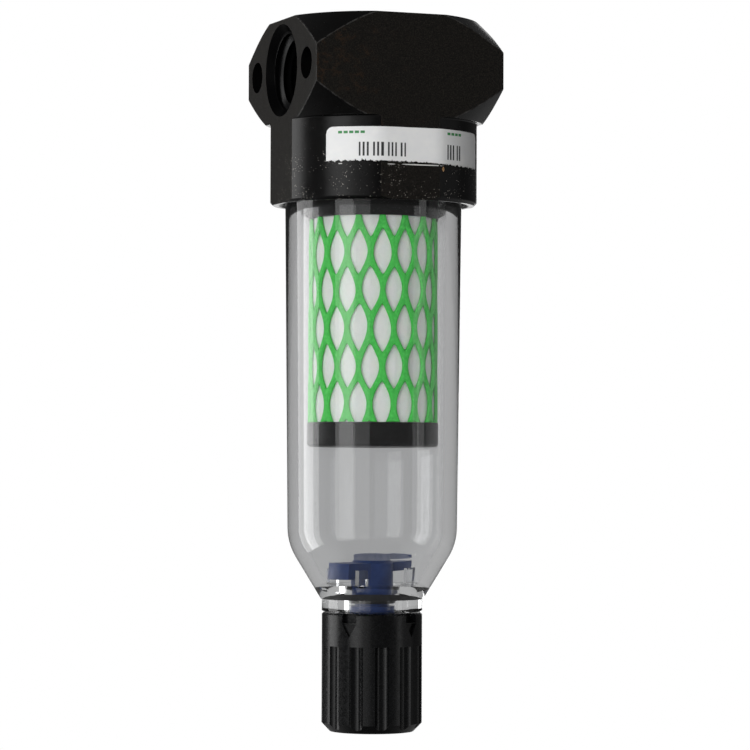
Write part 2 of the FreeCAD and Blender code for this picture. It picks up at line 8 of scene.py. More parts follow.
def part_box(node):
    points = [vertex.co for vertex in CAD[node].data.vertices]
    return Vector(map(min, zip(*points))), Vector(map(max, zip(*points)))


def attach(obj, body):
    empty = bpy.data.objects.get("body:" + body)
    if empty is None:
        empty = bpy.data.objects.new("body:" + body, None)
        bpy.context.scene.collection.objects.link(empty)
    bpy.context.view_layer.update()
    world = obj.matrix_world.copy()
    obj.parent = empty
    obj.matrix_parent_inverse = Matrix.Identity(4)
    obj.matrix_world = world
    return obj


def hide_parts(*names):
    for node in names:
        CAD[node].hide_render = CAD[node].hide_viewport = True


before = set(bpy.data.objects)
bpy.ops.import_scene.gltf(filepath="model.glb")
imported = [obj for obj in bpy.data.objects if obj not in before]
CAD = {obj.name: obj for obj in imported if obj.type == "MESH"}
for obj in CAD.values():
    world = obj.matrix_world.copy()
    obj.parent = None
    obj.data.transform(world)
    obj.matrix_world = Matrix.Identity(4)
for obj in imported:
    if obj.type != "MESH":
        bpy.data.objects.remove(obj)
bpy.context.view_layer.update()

# Looks of a compressed air filter: black square head with two threaded ports and a wrapped
# label, clear screw-on bowl, filter element in a green net, blue drain stem, black drain knob.
# The bowl axis is Z and the port axis is X. Heights and radii below are in millimetres from
# the frame's origin, where the two axes cross; MM turns them into metres.
MM = 0.001

# Camera: where it stands, and how its view is turned about Z, raised and rolled (degrees).
EYE = (-207.58, -526.24, -65.65)
VIEW_TURN = -21.566
VIEW_RISE = 1.219
VIEW_ROLL = 0.207
LENS = 152.33
SENSOR = 36.0

# Soft boxes: azimuth and height of the box's middle, its distance, width, height, radiance, and
# what it reaches: "all", "gloss" where it is not seen through clear parts, or "matt" where it is
# neither seen through them nor mirrored.
SOFT_BOXES = {
    "key_left": (146.5, -30, 900, 520, 1100, 2.1, "all"),
    "strip_left": (210.5, 0, 900, 400, 900, 1.4, "all"),
    "strip_soft": (234.0, 0, 900, 330, 900, 0.36, "all"),
    "strip_dim": (340.0, 0, 900, 500, 900, 0.12, "gloss"),
    "strip_right": (315.0, 0, 900, 170, 900, 0.8, "all"),
    "strip_back": (66.0, 60, 900, 300, 900, 1.4, "gloss"),
    "fill_front": (221.0, 100, 900, 700, 700, 3.7, "matt"),
    "fill_right": (292.0, 60, 900, 500, 600, 0.6, "matt"),
    "fill_back": (65.0, 200, 900, 700, 700, 3.0, "matt"),
    "fill_top": (0.0, 900, 1, 800, 800, 1.2, "matt"),
}
# Brightness of the surroundings for the camera, through clear parts, through clear parts with a
# reflection on the way, and for everything else.
SWEEP, SWEEP_THROUGH, SWEEP_FOLDED, SWEEP_AROUND = 1.0, 0.45, 0.12, 0.045
# The third changes from the front to SWEEP_SIDE, the side behind the object, and the last from
# straight down to straight up; both as (share of the way, brightness).
SWEEP_SIDE = (0.3676, 0.93, 0)
FOLDED_STOPS = ((0.25, SWEEP_FOLDED), (0.60, SWEEP_THROUGH))
SLANT_STOPS = ((0.03, SWEEP_AROUND), (0.14, 0.21), (0.36, 0.21), (0.45, SWEEP_AROUND),
               (0.60, SWEEP_AROUND), (0.68, 0.085), (0.86, 0.085), (0.97, SWEEP_AROUND))
FLOOR_Z = -420
FLOOR_R = 2600

# Head: flats of the square bar, turned skirt, port bore and its thread.
HEAD_HALF = -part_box("head")[0].x / MM
HEAD_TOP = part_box("head")[1].z / MM
SKIRT_R = 18.41
BAR_END_Z = -9.1
# radius plus height on the upper cone, and radius less height on the lower one
TOP_CONE_SUM = 18.65 + 9.0
LOW_CONE_SUM = 19.4 + 9.0
EDGE_BAND = 0.15
PORT_R = 6.85
PORT_RIM_R = 8.15
PORT_DEEP = 8.9
PORT_MOUTH_X = 16.4
THREAD_PITCH = 25.4 / 18
THREAD_DEEP = 1.1
THREAD_CREST, THREAD_ROOT = 0.16, 1.12

# Label: its front stands this far off the skirt, and its corners have this radius.
LABEL_LIFT = 0.10
LABEL_ROUND = 1.3
LABEL_LEFT, LABEL_RIGHT = -138.0, -35.0
# Fields of its print, as (left azimuth, right azimuth, low, high), and how proud the ink stands.
GREEN_FIELDS = ((-131.0, -116.0, -12.2, -11.75), (-67.5, -54.0, -12.0, -11.55))
STROKE_FIELDS = ((-119.5, -92.5, -16.1, -13.7), (-67.5, -54.5, -16.3, -13.7))
RULE_WIDE, RULE_GAP = 2.3, 0.8
INK_DEEP = 0.015

# Bowl: rim, screw thread, drafted wall, shoulder arc, cone, and floor with its lugs.
RIM_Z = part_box("bowl")[1].z / MM
THREAD_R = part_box("bowl")[1].x / MM
THREAD_LOW_Z, THREAD_HIGH_Z, BOWL_PITCH = -22.3, -16.3, 2.5
# how far the thread's crest stays inside its CAD cylinder, and how deep the thread is cut
CREST_INSET, THREAD_CUT = 0.45, 0.8
BOWL_TOP_R, BOWL_LOW_R, BOWL_WALL = 15.74, 15.12, 2.4
SHOULDER_Z, BOWL_ROUND, BOWL_CONE = -80.7, 10.4, 31.3
FLOOR_IN_Z, LUG_TOP_Z, ARM_TURN = -90.3, -87.6, 23.4
LUG_NEAR, LUG_FAR, LUG_SIDE, LUG_EDGE, LUG_SUNK = 5.2, 6.9, 3.0, 4.3, 0.3
# the neck, the drain seat with the groove of its lip ring, and the bores for the stem
NECK_R, NECK_TOP_Z, NECK_END_Z, NECK_EDGE = 8.95, -93.4, -95.6, 0.15
SEAT_R, SEAT_Z = 5.2, -93.05
GROOVE_R, GROOVE_TOP_Z = 6.0, -91.55
STEM_BORE_R, TAIL_BORE_R, TAIL_BORE_Z = 4.3, 3.6, -97.0
# the spigot with the lip that holds the knob
SPIGOT_R, SPIGOT_END_R, SPIGOT_END_Z = 6.2, 6.25, -104.2
SPIGOT_LIP_R, SPIGOT_LIP_Z, SPIGOT_LIP_TALL = 6.75, -103.1, 0.3
# the rim and the groove of its seal
RIM_R, RIM_BORE_R, RIM_EDGE, RIM_FOOT_Z = 15.45, 13.25, 0.4, -15.5
SEAL_GROOVE_R, SEAL_GROOVE_TOP_Z, SEAL_GROOVE_END_Z = 14.35, -12.3, -14.3

# Net: rows of joints and columns of joints.
NET_ROW_Z = -32.1
NET_ROW_STEP = 6.7
NET_COLUMNS = 36
NET_FIRST_COLUMN = 6.0
# an opening's half height and half width, and how far two strands overlap where they join
NET_OPEN_TALL, NET_OPEN_WIDE = 4.4, 1.47
NET_LAP = 0.3
# how far, in millimetres and in degrees, the strands wander from a regular net
NET_SLIP, NET_BEND = 0.55, 1.5


# ---------------------------------------------------------------- stage

def add_camera():
    data = bpy.data.cameras.new("camera")
    data.lens = LENS
    data.sensor_width = SENSOR
    camera = bpy.data.objects.new("camera", data)
    bpy.context.scene.collection.objects.link(camera)
    turn = Matrix.Rotation(math.radians(VIEW_TURN), 4, "Z")
    rise = Matrix.Rotation(math.radians(90 + VIEW_RISE), 4, "X")
    roll = Matrix.Rotation(math.radians(VIEW_ROLL), 4, "Z")
    camera.matrix_world = Matrix.Translation(Vector(EYE) * MM) @ turn @ rise @ roll
    bpy.context.scene.camera = camera


def add_soft_box(name, place, aim, width, tall, radiance, reach):
    data = bpy.data.lights.new(name, "AREA")
    data.shape = "RECTANGLE"
    data.size = width * MM
    data.size_y = tall * MM
    data.energy = radiance * math.pi * data.size * data.size_y
    light = bpy.data.objects.new(name, data)
    bpy.context.scene.collection.objects.link(light)
    light.location = place * MM
    light.rotation_euler = (place - aim).to_track_quat("Z", "Y").to_euler()
    light.visible_camera = False
    light.visible_glossy = reach != "matt"
    light.visible_transmission = reach == "all"


def add_lights():
    for name, (azimuth, height, distance, width, tall, radiance, reach) in SOFT_BOXES.items():
        place = Vector((*polar(distance, azimuth), height))
        aim = Vector((0, 0, min(height, 0)))
        add_soft_box(name, place, aim, width, tall, radiance, reach)


def add_world():
    """A white sweep for the camera, and a darker studio for what the object shows of it."""
    world = bpy.data.worlds.new("studio")
    world.use_nodes = True
    bpy.context.scene.world = world
    tree = world.node_tree
    tree.nodes.clear()
    path = tree.nodes.new("ShaderNodeLightPath")
    where = tree.nodes.new("ShaderNodeTexCoord").outputs["Generated"]
    seen = add_background(tree, SWEEP)
    through = studio_through(tree, path, where)
    around = studio_around(tree, where)
    inner = mix_shaders(tree, path.outputs["Is Transmission Ray"], around, through)
    outer = mix_shaders(tree, path.outputs["Is Camera Ray"], inner, seen)
    output = tree.nodes.new("ShaderNodeOutputWorld")
    tree.links.new(outer, output.inputs["Surface"])


def studio_through(tree, path, where):
    """What clear parts let through. After a reflection on the way, the studio in front of the
    object is darker than the sweep behind it."""
    straight = add_background(tree, SWEEP_THROUGH)
    folded = add_background(tree, SWEEP_FOLDED)
    behind = along_axis(tree, where, SWEEP_SIDE)
    tree.links.new(brightness(tree, behind, FOLDED_STOPS), folded.node.inputs["Color"])
    mirrored = tree.nodes.new("ShaderNodeMath")
    mirrored.operation = "GREATER_THAN"
    mirrored.inputs[1].default_value = 0.5
    tree.links.new(path.outputs["Glossy Depth"], mirrored.inputs[0])
    return mix_shaders(tree, mirrored.outputs[0], straight, folded)


def studio_around(tree, where):
    """What the outsides of the parts mirror: paler at a slant, most of all below, than level."""
    around = add_background(tree, SWEEP_AROUND)
    slant = along_axis(tree, where, (0, 0, 0.5))
    tree.links.new(brightness(tree, slant, SLANT_STOPS), around.node.inputs["Color"])
    return around


def along_axis(tree, where, axis):
    """How far a direction points along an axis: one half, plus the dot product of the two."""
    dot = tree.nodes.new("ShaderNodeVectorMath")
    dot.operation = "DOT_PRODUCT"
    dot.inputs[1].default_value = axis
    tree.links.new(where, dot.inputs[0])
    node = tree.nodes.new("ShaderNodeMath")
    node.operation = "ADD"
    node.inputs[1].default_value = 0.5
    tree.links.new(dot.outputs["Value"], node.inputs[0])
    return node.outputs[0]


def brightness(tree, factor, stops):
    ramp = tree.nodes.new("ShaderNodeValToRGB")
    tree.links.new(factor, ramp.inputs[0])
    elements = ramp.color_ramp.elements
    while len(elements) < len(stops):
        elements.new(0.5)
    for element, (place, level) in zip(elements, stops):
        element.position = place
        element.color = (level, level, level, 1)
    return ramp.outputs["Color"]


def add_background(tree, level):
    background = tree.nodes.new("ShaderNodeBackground")
    background.inputs["Color"].default_value = (level, level, level, 1)
    return background.outputs["Background"]


def mix_shaders(tree, factor, first, second):
    mix = tree.nodes.new("ShaderNodeMixShader")
    tree.links.new(factor, mix.inputs[0])
    tree.links.new(first, mix.inputs[1])
    tree.links.new(second, mix.inputs[2])
    return mix.outputs[0]


def add_floor():
    floor = mesh_object("floor", *disc(FLOOR_R, FLOOR_Z, 96))
    material = Paint("floor_paper", (0.86, 0.86, 0.85), roughness=0.9)
    grain = material.noise(0.01, detail=3)
    material.colour(grain, [(0.3, (0.84, 0.84, 0.83)), (0.7, (0.88, 0.88, 0.87))])
    material.set("Emission Color", (0.86, 0.86, 0.85, 1))
    material.set("Emission Strength", 0.95)
    floor.data.materials.append(material.material)
    floor.visible_diffuse = False
    floor.visible_glossy = False
    floor.visible_transmission = False


# ---------------------------------------------------------------- meshes

def polar(radius, azimuth):
    angle = math.radians(azimuth)
    return radius * math.cos(angle), radius * math.sin(angle)


def disc(radius, z, count):
    rim = [Vector((*polar(radius, 360 * i / count), z)) for i in range(count)]
    return rim, [tuple(range(count))]


def mesh_object(name, points, faces, smooth=True):
    """A new object from points in millimetres."""
    mesh = bpy.data.meshes.new(name)
    mesh.from_pydata([tuple(Vector(p) * MM) for p in points], [], faces)
    mesh.update()
    mesh.polygons.foreach_set("use_smooth", [smooth] * len(mesh.polygons))
    piece = bpy.data.objects.new(name, mesh)
    bpy.context.scene.collection.objects.link(piece)
    return piece


def tube_faces(rings, around, first=0):
    """Faces of a closed tube of rings, with a face across each end."""
    faces = []
    for ring in range(rings - 1):
        low = first + ring * around
        for i in range(around):
            j = (i + 1) % around
            faces.append((low + i, low + j, low + around + j, low + around + i))
    faces.append(tuple(first + i for i in reversed(range(around))))
    last = first + (rings - 1) * around
    faces.append(tuple(last + i for i in range(around)))
    return faces


def face_outward(piece):
    """Turns every face of a closed mesh outward."""
    shape = bmesh.new()
    shape.from_mesh(piece.data)
    bmesh.ops.recalc_face_normals(shape, faces=shape.faces)
    shape.to_mesh(piece.data)
    shape.free()


def smooth_step(value):
    value = min(max(value, 0.0), 1.0)
    return value * value * (3 - 2 * value)


# ---------------------------------------------------------------- materials

class Paint:
    """A Principled material whose textures are measured in millimetres on the object."""

    def __init__(self, name, base, roughness=0.5, **sockets):
        self.material = bpy.data.materials.new(name)
        self.material.use_nodes = True
        self.tree = self.material.node_tree
        self.shader = self.tree.nodes["Principled BSDF"]
        self.output = self.tree.nodes["Material Output"]
        self.set("Base Color", (*base, 1))
        self.set("Roughness", roughness)
        for socket, value in sockets.items():
            self.set(socket.replace("_", " "), value)
        where = self.tree.nodes.new("ShaderNodeTexCoord").outputs["Object"]
        self.place = self.stretched(where, (1 / MM,) * 3)

    def set(self, socket, value):
        self.shader.inputs[socket].default_value = value

    def link(self, source, socket):
        self.tree.links.new(source, self.shader.inputs[socket])

    def stretched(self, where, scale):
        mapping = self.tree.nodes.new("ShaderNodeMapping")
        mapping.inputs["Scale"].default_value = scale
        self.tree.links.new(where, mapping.inputs["Vector"])
        return mapping.outputs["Vector"]

    def noise(self, scale, detail=4, roughness=0.55, stretch=None):
        node = self.tree.nodes.new("ShaderNodeTexNoise")
        node.inputs["Scale"].default_value = scale
        node.inputs["Detail"].default_value = detail
        node.inputs["Roughness"].default_value = roughness
        where = self.stretched(self.place, stretch) if stretch else self.place
        self.tree.links.new(where, node.inputs["Vector"])
        return node.outputs["Fac"]

    def cells(self, scale):
        """Distance from the nearest of scattered points."""
        node = self.tree.nodes.new("ShaderNodeTexVoronoi")
        node.inputs["Scale"].default_value = scale
        self.tree.links.new(self.place, node.inputs["Vector"])
        return node.outputs["Distance"]

    def waves(self, scale, direction, distortion=0.0, detail=2):
        node = self.tree.nodes.new("ShaderNodeTexWave")
        node.bands_direction = direction
        node.inputs["Scale"].default_value = scale
        node.inputs["Distortion"].default_value = distortion
        node.inputs["Detail"].default_value = detail
        self.tree.links.new(self.place, node.inputs["Vector"])
        return node.outputs["Fac"]

    def axis(self, name):
        node = self.tree.nodes.new("ShaderNodeSeparateXYZ")
        self.tree.links.new(self.place, node.inputs[0])
        return node.outputs[name]

    def math(self, operation, first, second=None):
        node = self.tree.nodes.new("ShaderNodeMath")
        node.operation = operation
        for socket, value in zip(node.inputs, (first, second)):
            if isinstance(value, (int, float)):
                socket.default_value = value
            elif value is not None:
                self.tree.links.new(value, socket)
        return node.outputs[0]

    def ramp(self, factor, stops):
        """A colour for each place along the factor; a number stands for that grey."""
        node = self.tree.nodes.new("ShaderNodeValToRGB")
        self.tree.links.new(factor, node.inputs[0])
        elements = node.color_ramp.elements
        while len(elements) < len(stops):
            elements.new(0.5)
        for element, (place, tone) in zip(elements, stops):
            element.position = place
            tone = (tone, tone, tone) if isinstance(tone, (int, float)) else tone
            element.color = (*tone, 1)
        return node.outputs["Color"]

    def mix(self, factor, first, second):
        node = self.tree.nodes.new("ShaderNodeMix")
        node.data_type = "RGBA"
        self.tree.links.new(factor, node.inputs[0])
        for socket, value in ((node.inputs[6], first), (node.inputs[7], second)):
            if isinstance(value, tuple):
                socket.default_value = (*value, 1)
            else:
                self.tree.links.new(value, socket)
        return node.outputs[2]

    def colour(self, factor, stops):
        self.link(self.ramp(factor, stops), "Base Color")

    def rough(self, factor, low, high):
        self.link(self.ramp(factor, [(0.3, low), (0.7, high)]), "Roughness")

    def bump(self, *layers):
        """Height layers as (height, strength, depth in millimetres)."""
        normal = None
        for height, strength, depth in layers:
            node = self.tree.nodes.new("ShaderNodeBump")
            node.inputs["Strength"].default_value = strength
            node.inputs["Distance"].default_value = depth * MM
            self.tree.links.new(height, node.inputs["Height"])
            if normal:
                self.tree.links.new(normal, node.inputs["Normal"])
            normal = node.outputs["Normal"]
        self.link(normal, "Normal")


def head_paint():
    """Black anodised bar. The milled flats are duller and browner than the turned faces, with stains,
    pale dust on the skirt, a painted highlight along its edges and painted shade in its ports."""
    paint = Paint("head_anodised", (0.004, 0.004, 0.004), 0.34)
    radius, flat = turned_and_flat(paint)
    stains = paint.noise(0.16, detail=6, roughness=0.7)
    turned = paint.ramp(stains, [(0.35, (0.0014, 0.0014, 0.0015)), (0.7, (0.0028, 0.0026, 0.0024))])
    mottle = paint.noise(4.2, detail=4, roughness=0.8)
    milled = paint.ramp(mottle, [(0.40, (0.0012, 0.0012, 0.0012)), (0.50, (0.0056, 0.0050, 0.0044)),
                                 (0.60, (0.0210, 0.0180, 0.0142))])
    film = paint.mix(flat, turned, milled)
    film = paint.mix(paint.math("MULTIPLY", flat, rust_mask(paint)), film, (0.040, 0.020, 0.009))
    film = paint.mix(dust_mask(paint), film, (0.30, 0.28, 0.25))
    # painted highlight along the edges, where a cone of the blank meets a flat of the bar
    edge = paint.math("MULTIPLY", edge_highlight_mask(paint, radius), paint.noise(0.8, detail=5, roughness=0.7))
    film = paint.mix(paint.ramp(edge, [(0.40, 0.0), (0.62, 0.8)]), film, (0.050, 0.049, 0.047))
    # painted shade: the port bores and chamfers get a darker colour and a weaker shine
    bore = port_shade_mask(paint)
    near_face = paint.math("GREATER_THAN", paint.math("ABSOLUTE", paint.axis("X")), PORT_MOUTH_X)
    mouth = paint.math("MULTIPLY", bore, near_face)
    paint.link(paint.mix(bore, film, (0.0014, 0.0014, 0.0015)), "Base Color")
    shine = paint.math("SUBTRACT", 0.38, paint.math("MULTIPLY", bore, 0.26))
    shine = paint.math("SUBTRACT", shine, paint.math("MULTIPLY", flat, 0.20))
    paint.link(paint.math("SUBTRACT", shine, paint.math("MULTIPLY", mouth, 0.10)), "Specular IOR Level")
    blotch = paint.math("MULTIPLY", paint.noise(0.7, detail=5), 0.14)
    duller = paint.math("MULTIPLY", flat, 0.27)
    paint.link(paint.math("ADD", paint.math("ADD", blotch, duller), 0.18), "Roughness")
    turning = paint.waves(2.6, "Z", distortion=0.4)
    paint.bump((turning, 0.05, 0.01), (mottle, 0.35, 0.03), (paint.noise(0.9, detail=4), 0.12, 0.03))
    return paint.material


def rust_mask(paint):
    """Thin brown stains, most of them near the inlet side of the bar."""
    place = paint.math("MULTIPLY", paint.axis("X"), -0.014)
    thin = paint.math("ABSOLUTE", paint.math("SUBTRACT", paint.noise(0.22, detail=6, roughness=0.75), 0.5))
    rim = paint.ramp(thin, [(0.006, 1.0), (0.022, 0.0)])
    spread = paint.math("ADD", paint.noise(0.35, detail=3), place)
    lots = paint.ramp(spread, [(0.60, 0.0), (0.80, 0.55)])
    faces = paint.math("LESS_THAN", paint.axis("Y"), 0.05 - HEAD_HALF)
    return paint.math("MULTIPLY", faces, paint.math("MULTIPLY", rim, lots))


def dust_mask(paint):
    """Pale specks on the skirt: the small middles of some cells, inside a broad patchy mask."""
    near = paint.cells(3.0)
    size = paint.math("MULTIPLY", paint.noise(1.9, detail=2), 0.42)
    dots = paint.math("LESS_THAN", near, size)
    spread = paint.math("ADD", paint.noise(3.1, detail=1), paint.noise(0.25, detail=2))
    chosen = paint.math("GREATER_THAN", spread, 1.09)
    low = paint.math("LESS_THAN", paint.axis("Z"), -15.0)
    front = paint.math("LESS_THAN", paint.axis("Y"), 2.0)
    specks = paint.math("MULTIPLY", dots, chosen)
    return paint.math("MULTIPLY", specks, paint.math("MULTIPLY", low, front))


def port_shade_mask(paint):
    """1 inside the ports and on their chamfers, where shade is painted; 0 elsewhere."""
    radius = distance_between(paint, paint.axis("Y"), paint.axis("Z"))
    inside = paint.math("LESS_THAN", radius, PORT_RIM_R - 0.02)
    along = paint.math("GREATER_THAN", paint.math("ABSOLUTE", paint.axis("X")), 7.5)
    return paint.math("MULTIPLY", inside, along)


def distance_between(paint, first, second):
    """Length of the diagonal over two lengths."""
    squares = [paint.math("MULTIPLY", side, side) for side in (first, second)]
    return paint.math("SQRT", paint.math("ADD", *squares))


def turned_and_flat(paint):
    """The distance from the bowl axis, and 1 on the bar's flats and top and 0 elsewhere."""
    x = paint.math("ABSOLUTE", paint.axis("X"))
    y = paint.math("ABSOLUTE", paint.axis("Y"))
    radius = distance_between(paint, x, y)
    side = paint.math("GREATER_THAN", paint.math("MAXIMUM", x, y), HEAD_HALF - 0.05)
    top = paint.math("GREATER_THAN", paint.axis("Z"), HEAD_TOP - 0.02)
    return radius, paint.math("MAXIMUM", side, top)


def edge_highlight_mask(paint, radius):
    """1 along the edges between the head's cones and flats, where a highlight is painted; 0 elsewhere."""
    x = paint.math("ABSOLUTE", paint.axis("X"))
    y = paint.math("ABSOLUTE", paint.axis("Y"))
    z = paint.axis("Z")
    reach = paint.math("MAXIMUM", x, y)
    above = paint.math("SUBTRACT", paint.math("ADD", radius, z), TOP_CONE_SUM)
    below = paint.math("SUBTRACT", paint.math("SUBTRACT", radius, z), LOW_CONE_SUM)
    above = paint.math("ABSOLUTE", above)
    below = paint.math("ABSOLUTE", below)
    near_cone = paint.math("LESS_THAN", paint.math("MINIMUM", above, below), EDGE_BAND)
    near_flat = paint.math("GREATER_THAN", reach, HEAD_HALF - EDGE_BAND)
    corner = paint.math("GREATER_THAN", paint.math("MINIMUM", x, y), HEAD_HALF - EDGE_BAND)
    on_bar = paint.math("GREATER_THAN", z, BAR_END_Z)
    either = paint.math("MAXIMUM", near_cone, corner)
    return paint.math("MULTIPLY", on_bar, paint.math("MULTIPLY", near_flat, either))


def plastic_paint(name, base, roughness, shine, grain):
    """Moulded black plastic with a fine matt grain and a dusty speckle."""
    paint = Paint(name, base, roughness, Specular_IOR_Level=shine)
    speckle = paint.noise(4.0, detail=4, roughness=0.8)
    cloud = paint.noise(0.35, detail=4)
    dark, pale = (tuple(value * share for value in base) for share in (0.55, 2.4))
    paint.colour(speckle, [(0.38, dark), (0.52, base), (0.66, pale)])
    paint.rough(paint.noise(1.3, detail=4), roughness - 0.05, roughness + 0.07)
    paint.bump((speckle, grain, 0.02), (cloud, 0.1, 0.04))
    return paint.material


def rubber_paint(name):
    paint = Paint(name, (0.013, 0.013, 0.014), 0.55)
    paint.colour(paint.noise(1.2), [(0.3, (0.010, 0.010, 0.011)), (0.7, (0.019, 0.019, 0.020))])
    paint.rough(paint.noise(2.0), 0.48, 0.66)
    paint.bump((paint.noise(8.0), 0.15, 0.01))
    return paint.material


def bowl_paint():
    """Clear moulded polycarbonate; lamps shine through it."""
    paint = Paint("bowl_clear", (0.93, 0.935, 0.94), 0.02,
                  Transmission_Weight=1.0, IOR=1.585)
    haze = paint.noise(0.5, detail=5)
    paint.link(paint.ramp(haze, [(0.3, 0.012), (0.75, 0.045)]), "Roughness")
    paint.bump((paint.noise(0.18, detail=2), 0.05, 0.05))
    let_through_lamps(paint)
    return paint.material


def let_through_lamps(paint):
    tree = paint.tree
    clear = tree.nodes.new("ShaderNodeBsdfTransparent")
    clear.inputs["Color"].default_value = (1, 1, 1, 1)
    path = tree.nodes.new("ShaderNodeLightPath")
    mixed = mix_shaders(tree, path.outputs["Is Shadow Ray"],
                        paint.shader.outputs["BSDF"], clear.outputs["BSDF"])
    tree.links.new(mixed, paint.output.inputs["Surface"])


def net_paint():
    paint = Paint("net_green", (0.07, 0.62, 0.09), 0.5, Specular_IOR_Level=0.3)
    mottle = paint.noise(2.4, detail=5, roughness=0.75)
    paint.colour(mottle, [(0.3, (0.055, 0.54, 0.075)), (0.5, (0.08, 0.69, 0.105)),
                          (0.72, (0.15, 0.84, 0.17))])
    paint.rough(paint.noise(1.5), 0.42, 0.6)
    paint.bump((paint.noise(2.2, detail=3, stretch=(1, 1, 0.3)), 0.2, 0.03))
    return paint.material


def felt_paint():
    """White fibrous layer that drains coalesced liquid."""
    paint = Paint("drain_felt", (0.92, 0.925, 0.91), 0.9,
                  Subsurface_Weight=0.1, Subsurface_Scale=0.0008)
    tufts = paint.noise(1.6, detail=6, roughness=0.7)
    fibres = paint.noise(5.0, detail=3, stretch=(1.0, 1.0, 0.35))
    paint.colour(tufts, [(0.3, (0.87, 0.88, 0.86)), (0.7, (0.95, 0.95, 0.935))])
    paint.rough(tufts, 0.85, 0.98)
    paint.bump((fibres, 0.5, 0.06), (tufts, 0.5, 0.15))
    return paint.material


def media_paint():
    """Pleat-free glass fibre wrap of the filter medium."""
    paint = Paint("filter_fibre", (0.83, 0.82, 0.78), 0.95)
    web = paint.noise(3.0, detail=7, roughness=0.75)
    paint.colour(web, [(0.3, (0.74, 0.73, 0.69)), (0.7, (0.87, 0.86, 0.83))])
    paint.bump((web, 0.6, 0.1))
    return paint.material


def resin_paint():
    paint = Paint("bond_resin", (0.52, 0.40, 0.20), 0.3, Coat_Weight=0.3)
    paint.colour(paint.noise(0.8), [(0.3, (0.44, 0.33, 0.15)), (0.7, (0.58, 0.46, 0.25))])
    paint.rough(paint.noise(1.6), 0.22, 0.4)
    paint.bump((paint.noise(1.1), 0.3, 0.06))
    return paint.material


def steel_paint():
    """Rolled and perforated stainless sheet."""
    paint = Paint("support_steel", (0.52, 0.52, 0.51), 0.32, Metallic=1.0)
    rolled = paint.noise(2.5, detail=4, stretch=(0.15, 0.15, 3.0))
    paint.colour(rolled, [(0.3, (0.44, 0.44, 0.43)), (0.7, (0.60, 0.60, 0.59))])
    paint.rough(rolled, 0.24, 0.42)
    paint.bump((rolled, 0.15, 0.01))
    return paint.material


def stem_paint():
    """Blue moulded acetal."""
    paint = Paint("stem_blue", (0.011, 0.024, 0.095), 0.4, Specular_IOR_Level=0.35)
    cloud = paint.noise(0.6, detail=4)
    paint.colour(cloud, [(0.35, (0.010, 0.026, 0.100)), (0.7, (0.016, 0.040, 0.145))])
    paint.rough(paint.noise(1.7), 0.3, 0.44)
    paint.bump((paint.noise(7.0), 0.1, 0.01))
    return paint.material


def label_paint():
    """White vinyl label, slightly wrinkled, with grime along its torn lower edge."""
    paint = Paint("label_vinyl", (0.80, 0.80, 0.79), 0.34)
    low = paint.math("ADD", paint.axis("Z"), paint.math("MULTIPLY", paint.noise(1.2, detail=6), 1.2))
    grime = paint.ramp(paint.math("ADD", low, 17.0), [(0.0, 1.0), (0.75, 0.0)])
    clean = paint.ramp(paint.noise(0.5, detail=5), [(0.3, (0.77, 0.775, 0.78)), (0.7, (0.82, 0.82, 0.81))])
    paint.link(paint.mix(grime, clean, (0.56, 0.56, 0.53)), "Base Color")
    paint.rough(paint.noise(0.9), 0.28, 0.42)
    paint.bump((paint.noise(0.45, detail=2), 0.25, 0.06), (paint.noise(5.0), 0.06, 0.01))
    return paint.material


def ink_paint(name, base):
    paint = Paint(name, base, 0.45)
    worn = tuple(value + 0.05 for value in base)
    paint.colour(paint.noise(3.5, detail=5), [(0.4, base), (0.8, worn)])
    paint.rough(paint.noise(2.0), 0.38, 0.52)
    paint.bump((paint.noise(6.0), 0.1, 0.005))
    return paint.material


def finish(node, material):
    for slot in CAD[node].material_slots:
        slot.material = material


# ---------------------------------------------------------------- label

def skirt_radius(azimuth):
    """Radius of the label's backing: the skirt, which the bar's flats graze, with the corners
    between the two eased."""
    total = 0.0
    for shift in (-3.0, -2.0, -1.0, 0.0, 1.0, 2.0, 3.0):
        angle = math.radians(azimuth + shift)
        across = max(abs(math.cos(angle)), abs(math.sin(angle)))
        total += min(SKIRT_R, HEAD_HALF / across)
    return total / 7


def patch(left, right, low_edge, high_edge, back, front, step=0.25):
    """Points and faces of a thin closed patch on the skirt, between two azimuths. The edges
    are functions of the azimuth that give a height, and back and front are lifts."""
    columns = max(2, int(math.radians(right - left) * SKIRT_R / step) + 1)
    rows = max(2, int((high_edge((left + right) / 2) - low_edge((left + right) / 2)) / step) + 1)
    points, faces = [], []
    for lift in (back, front):
        for i in range(columns):
            azimuth = left + (right - left) * i / (columns - 1)
            low, high = low_edge(azimuth), high_edge(azimuth)
            for k in range(rows):
                height = low + (high - low) * k / (rows - 1)
                points.append((*polar(skirt_radius(azimuth) + lift, azimuth), height))
    layer = columns * rows

    def at(i, k, side):
        return side * layer + i * rows + k
    for i in range(columns - 1):
        for k in range(rows - 1):
            quad = [(i, k), (i + 1, k), (i + 1, k + 1), (i, k + 1)]
            faces.append(tuple(at(a, b, 1) for a, b in quad))
            faces.append(tuple(at(a, b, 0) for a, b in reversed(quad)))
    rim = [(i, 0) for i in range(columns)] + [(columns - 1, k) for k in range(1, rows)]
    rim += [(i, rows - 1) for i in reversed(range(columns - 1))]
    rim += [(0, k) for k in reversed(range(1, rows - 1))]
    for (a, b), (c, d) in zip(rim, rim[1:] + rim[:1]):
        faces.append((at(a, b, 0), at(c, d, 0), at(c, d, 1), at(a, b, 1)))
    return points, faces


def label_span():
    low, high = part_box("name_label")
    return low.z / MM, high.z / MM


